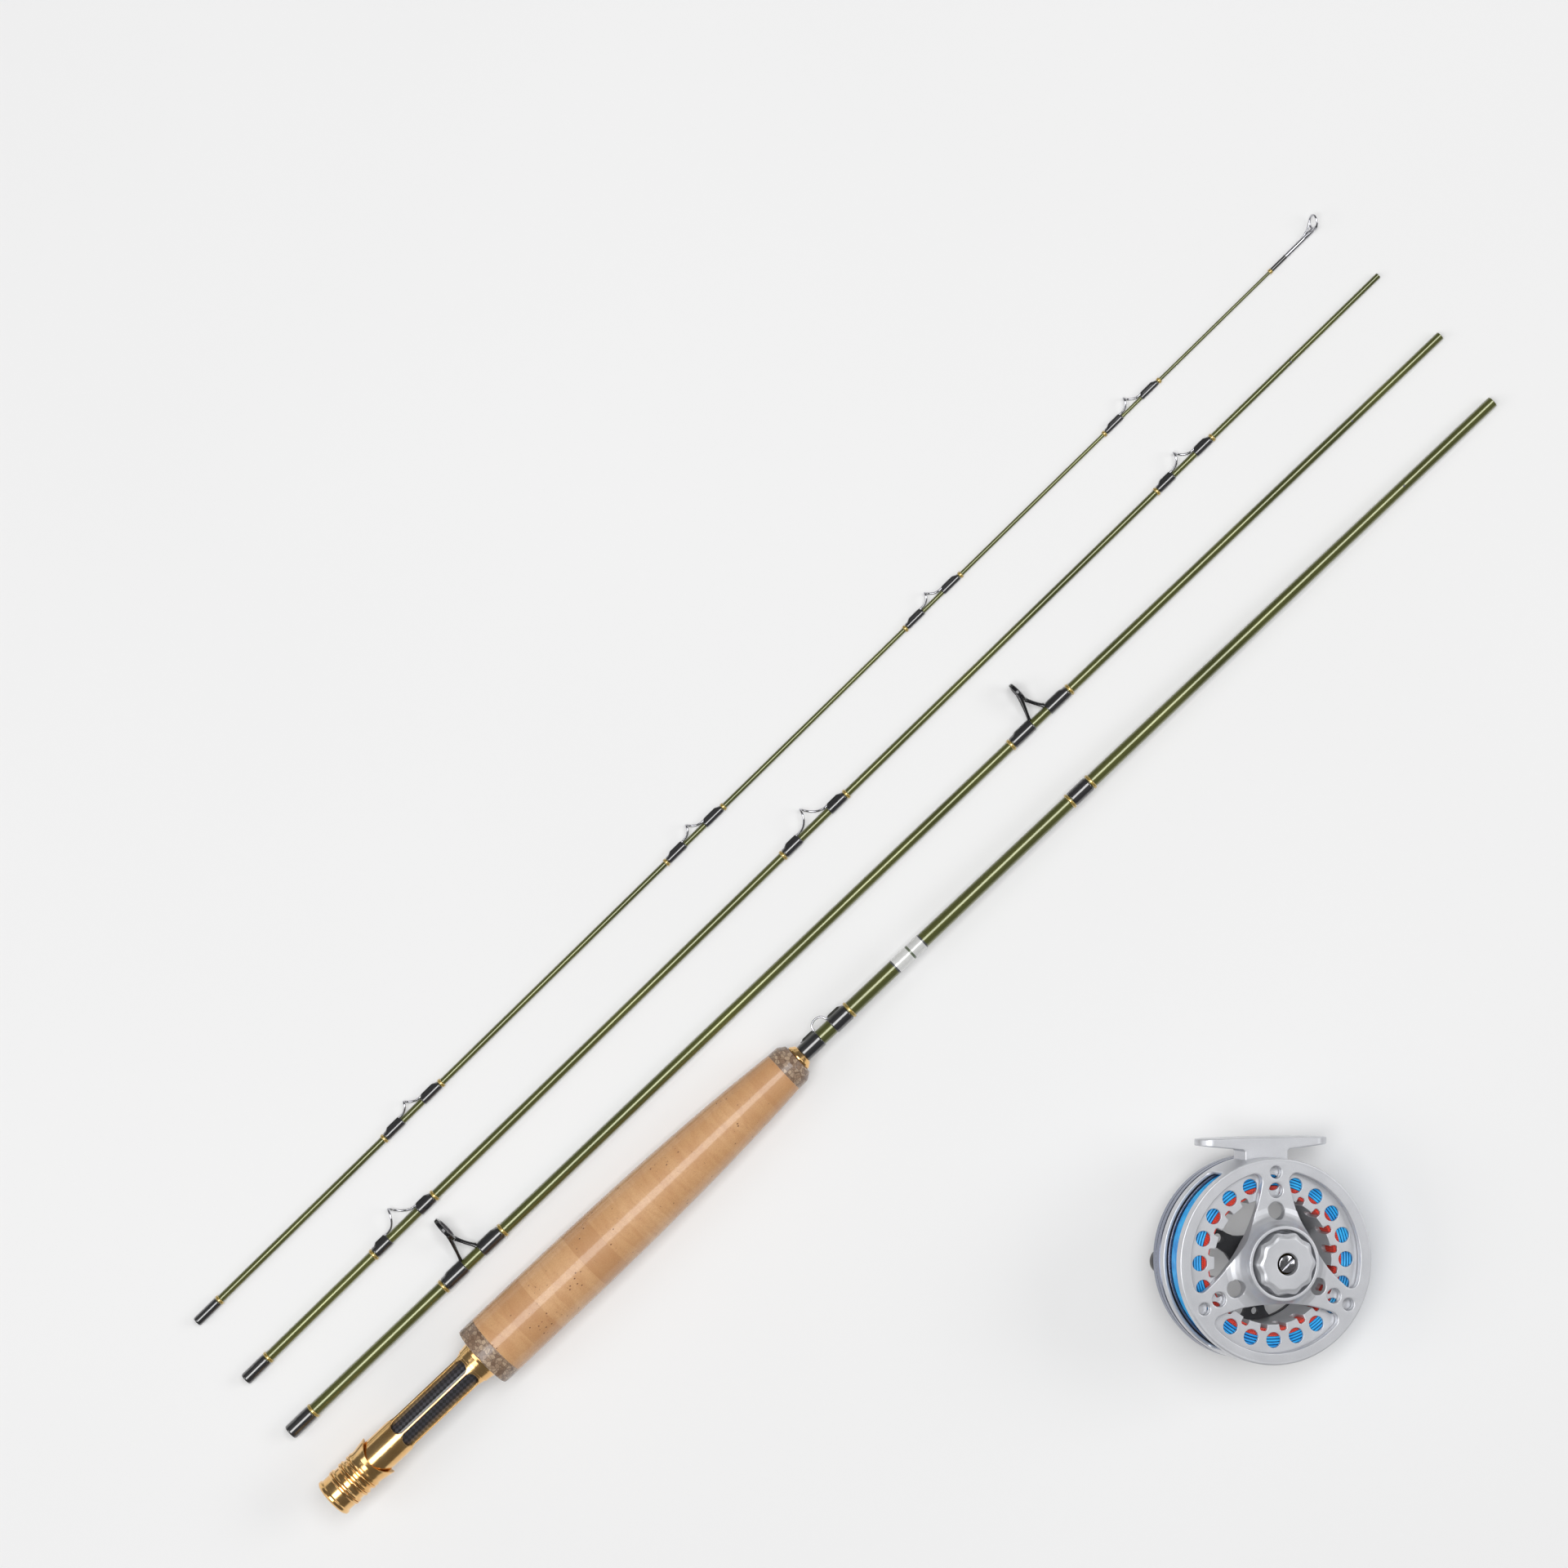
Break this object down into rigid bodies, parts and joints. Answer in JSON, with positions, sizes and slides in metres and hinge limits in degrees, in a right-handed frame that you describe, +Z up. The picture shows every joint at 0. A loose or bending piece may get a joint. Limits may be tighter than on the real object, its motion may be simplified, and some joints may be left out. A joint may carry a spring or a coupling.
{
  "type": "fly fishing rod and reel",
  "caption": "Fly rod taken down into its sections, with cork grip, reel seat and line guides, beside a fly reel with a ported frame, drag knob and wound line.",
  "frame": {"origin": "on the ground, under the middle of the whole layout", "axes": "+X along the rod sections from butt to tip, +Y across them towards the tip section, +Z up"},
  "size_m": [0.6725, 0.3424, 0.0567],
  "materials": {
    "olive_blank": "clear coated olive carbon tube",
    "gold_metal": "polished gold anodised aluminium",
    "carbon_weave": "woven carbon under clear coat",
    "spacer_foam": "matt",
    "cork": "sanded cork in thin film",
    "burl_cork": "sanded composite cork",
    "chrome_wire": "polished",
    "black_thread": "thread under clear resin",
    "gold_thread": "metallic thread under clear resin",
    "plain_label": "printed film under clear coat",
    "black_frame": "gloss black",
    "ceramic_ring": "polished dark ceramic",
    "reel_silver": "satin silver",
    "dark_anodised": "dark anodised",
    "bare_steel": "turned",
    "washer_fibre": "matt",
    "nut_brass": "turned",
    "backing_red": "braided backing",
    "line_blue": "smooth coated line",
    "handle_black": "satin"
  },
  "bodies": {
    "butt_section": {"butt_blank": "olive_blank", "butt_cap": "gold_metal", "seat_frame": "gold_metal", "seat_insert": "carbon_weave", "seat_arbor": "spacer_foam", "fixed_hood": "gold_metal", "grip_lower_ring": "burl_cork", "cork_grip": "cork", "grip_upper_ring": "burl_cork", "winding_check": "gold_metal", "hook_keeper": "chrome_wire", "butt_wraps": "black_thread", "butt_trim_bands": "gold_thread", "butt_label": "plain_label"},
    "seat_hood": {"seat_hood": "gold_metal"},
    "jam_ring": {"jam_ring": "gold_metal"},
    "lock_ring": {"lock_ring": "gold_metal"},
    "section_3": {"section_3_blank": "olive_blank", "stripping_guide_frames": "black_frame", "stripping_guide_rings": "ceramic_ring", "section_3_wraps": "black_thread", "section_3_trim_bands": "gold_thread"},
    "section_2": {"section_2_blank": "olive_blank", "section_2_snake_guides": "chrome_wire", "section_2_wraps": "black_thread", "section_2_trim_bands": "gold_thread"},
    "tip_section": {"tip_blank": "olive_blank", "tip_snake_guides": "chrome_wire", "tip_wraps": "black_thread", "tip_trim_bands": "gold_thread", "tip_top": "chrome_wire"},
    "reel_frame": {"reel_frame": "reel_silver", "reel_foot": "reel_silver", "foot_screws": "bare_steel", "spindle": "bare_steel", "drag_cover": "dark_anodised", "drag_washer": "washer_fibre", "pressure_plate": "bare_steel", "drag_spring": "bare_steel", "drag_screw": "chrome_wire", "pawl_post": "bare_steel", "click_spring": "bare_steel"},
    "drag_knob": {"drag_knob": "reel_silver", "drag_nut": "nut_brass"},
    "drive_hub": {"drive_hub": "bare_steel"},
    "spool": {"spool": "reel_silver", "click_gear": "nut_brass", "one_way_clutch": "dark_anodised", "spool_bearings": "bare_steel", "spool_cap": "reel_silver", "handle_post": "bare_steel", "counterweight": "reel_silver", "backing": "backing_red", "fly_line": "line_blue"},
    "handle_knob": {"handle_knob": "handle_black"},
    "click_pawl": {"click_pawl": "bare_steel"}
  },
  "joints": [
    {"name": "hood_slide", "type": "slide", "parent": "butt_section", "child": "seat_hood", "axis": [0.9997, -0.0115, -0.0228], "range_m": [0, 0.008]},
    {"name": "jam_ring_turn", "type": "hinge", "parent": "seat_hood", "child": "jam_ring", "pos_m": [-0.32107, 0.06891, 0.0174], "axis": [0.9997, -0.0115, -0.0228], "range_deg": [0, 1441]},
    {"name": "lock_ring_turn", "type": "hinge", "parent": "seat_hood", "child": "lock_ring", "pos_m": [-0.32607, 0.06896, 0.01751], "axis": [0.9997, -0.0115, -0.0228], "range_deg": [0, 1441]},
    {"name": "section_3_lift", "type": "slide", "parent": "butt_section", "child": "section_3", "axis": [0, 0, 1], "range_m": [0, 0.15]},
    {"name": "section_2_lift", "type": "slide", "parent": "butt_section", "child": "section_2", "axis": [0, 0, 1], "range_m": [0, 0.15]},
    {"name": "tip_section_lift", "type": "slide", "parent": "butt_section", "child": "tip_section", "axis": [0, 0, 1], "range_m": [0, 0.15]},
    {"name": "reel_lift", "type": "slide", "parent": "butt_section", "child": "reel_frame", "axis": [0, 0, 1], "range_m": [0, 0.15]},
    {"name": "drag_knob_turn", "type": "hinge", "parent": "reel_frame", "child": "drag_knob", "pos_m": [0.01725, -0.13059, 0.04736], "axis": [0.2202, -0.1783, 0.959], "range_deg": [0, 720]},
    {"name": "spool_spin", "type": "hinge", "parent": "reel_frame", "child": "spool", "pos_m": [0.01263, -0.12685, 0.02723], "axis": [0.2202, -0.1783, 0.959], "continuous": true},
    {"name": "drive_hub_spin", "type": "hinge", "parent": "reel_frame", "child": "drive_hub", "pos_m": [0.01373, -0.12774, 0.03202], "axis": [0.2202, -0.1783, 0.959], "continuous": true},
    {"name": "handle_knob_spin", "type": "hinge", "parent": "spool", "child": "handle_knob", "pos_m": [-0.01598, -0.10368, 0.01203], "axis": [0.2202, -0.1783, 0.959], "continuous": true},
    {"name": "click_pawl_tilt", "type": "hinge", "parent": "reel_frame", "child": "click_pawl", "pos_m": [0.01019, -0.14003, 0.0295], "axis": [0.2202, -0.1783, 0.959], "range_deg": [-8, 0], "stiffness_Nm_per_rad": 0.002}
  ],
  "couplings": [
    {"joint": "jam_ring_turn", "follows": "hood_slide", "rad_per_m": 3141.6},
    {"joint": "lock_ring_turn", "follows": "hood_slide", "rad_per_m": 3141.6},
    {"joint": "drive_hub_spin", "follows": "spool_spin", "ratio": 1}
  ]
}
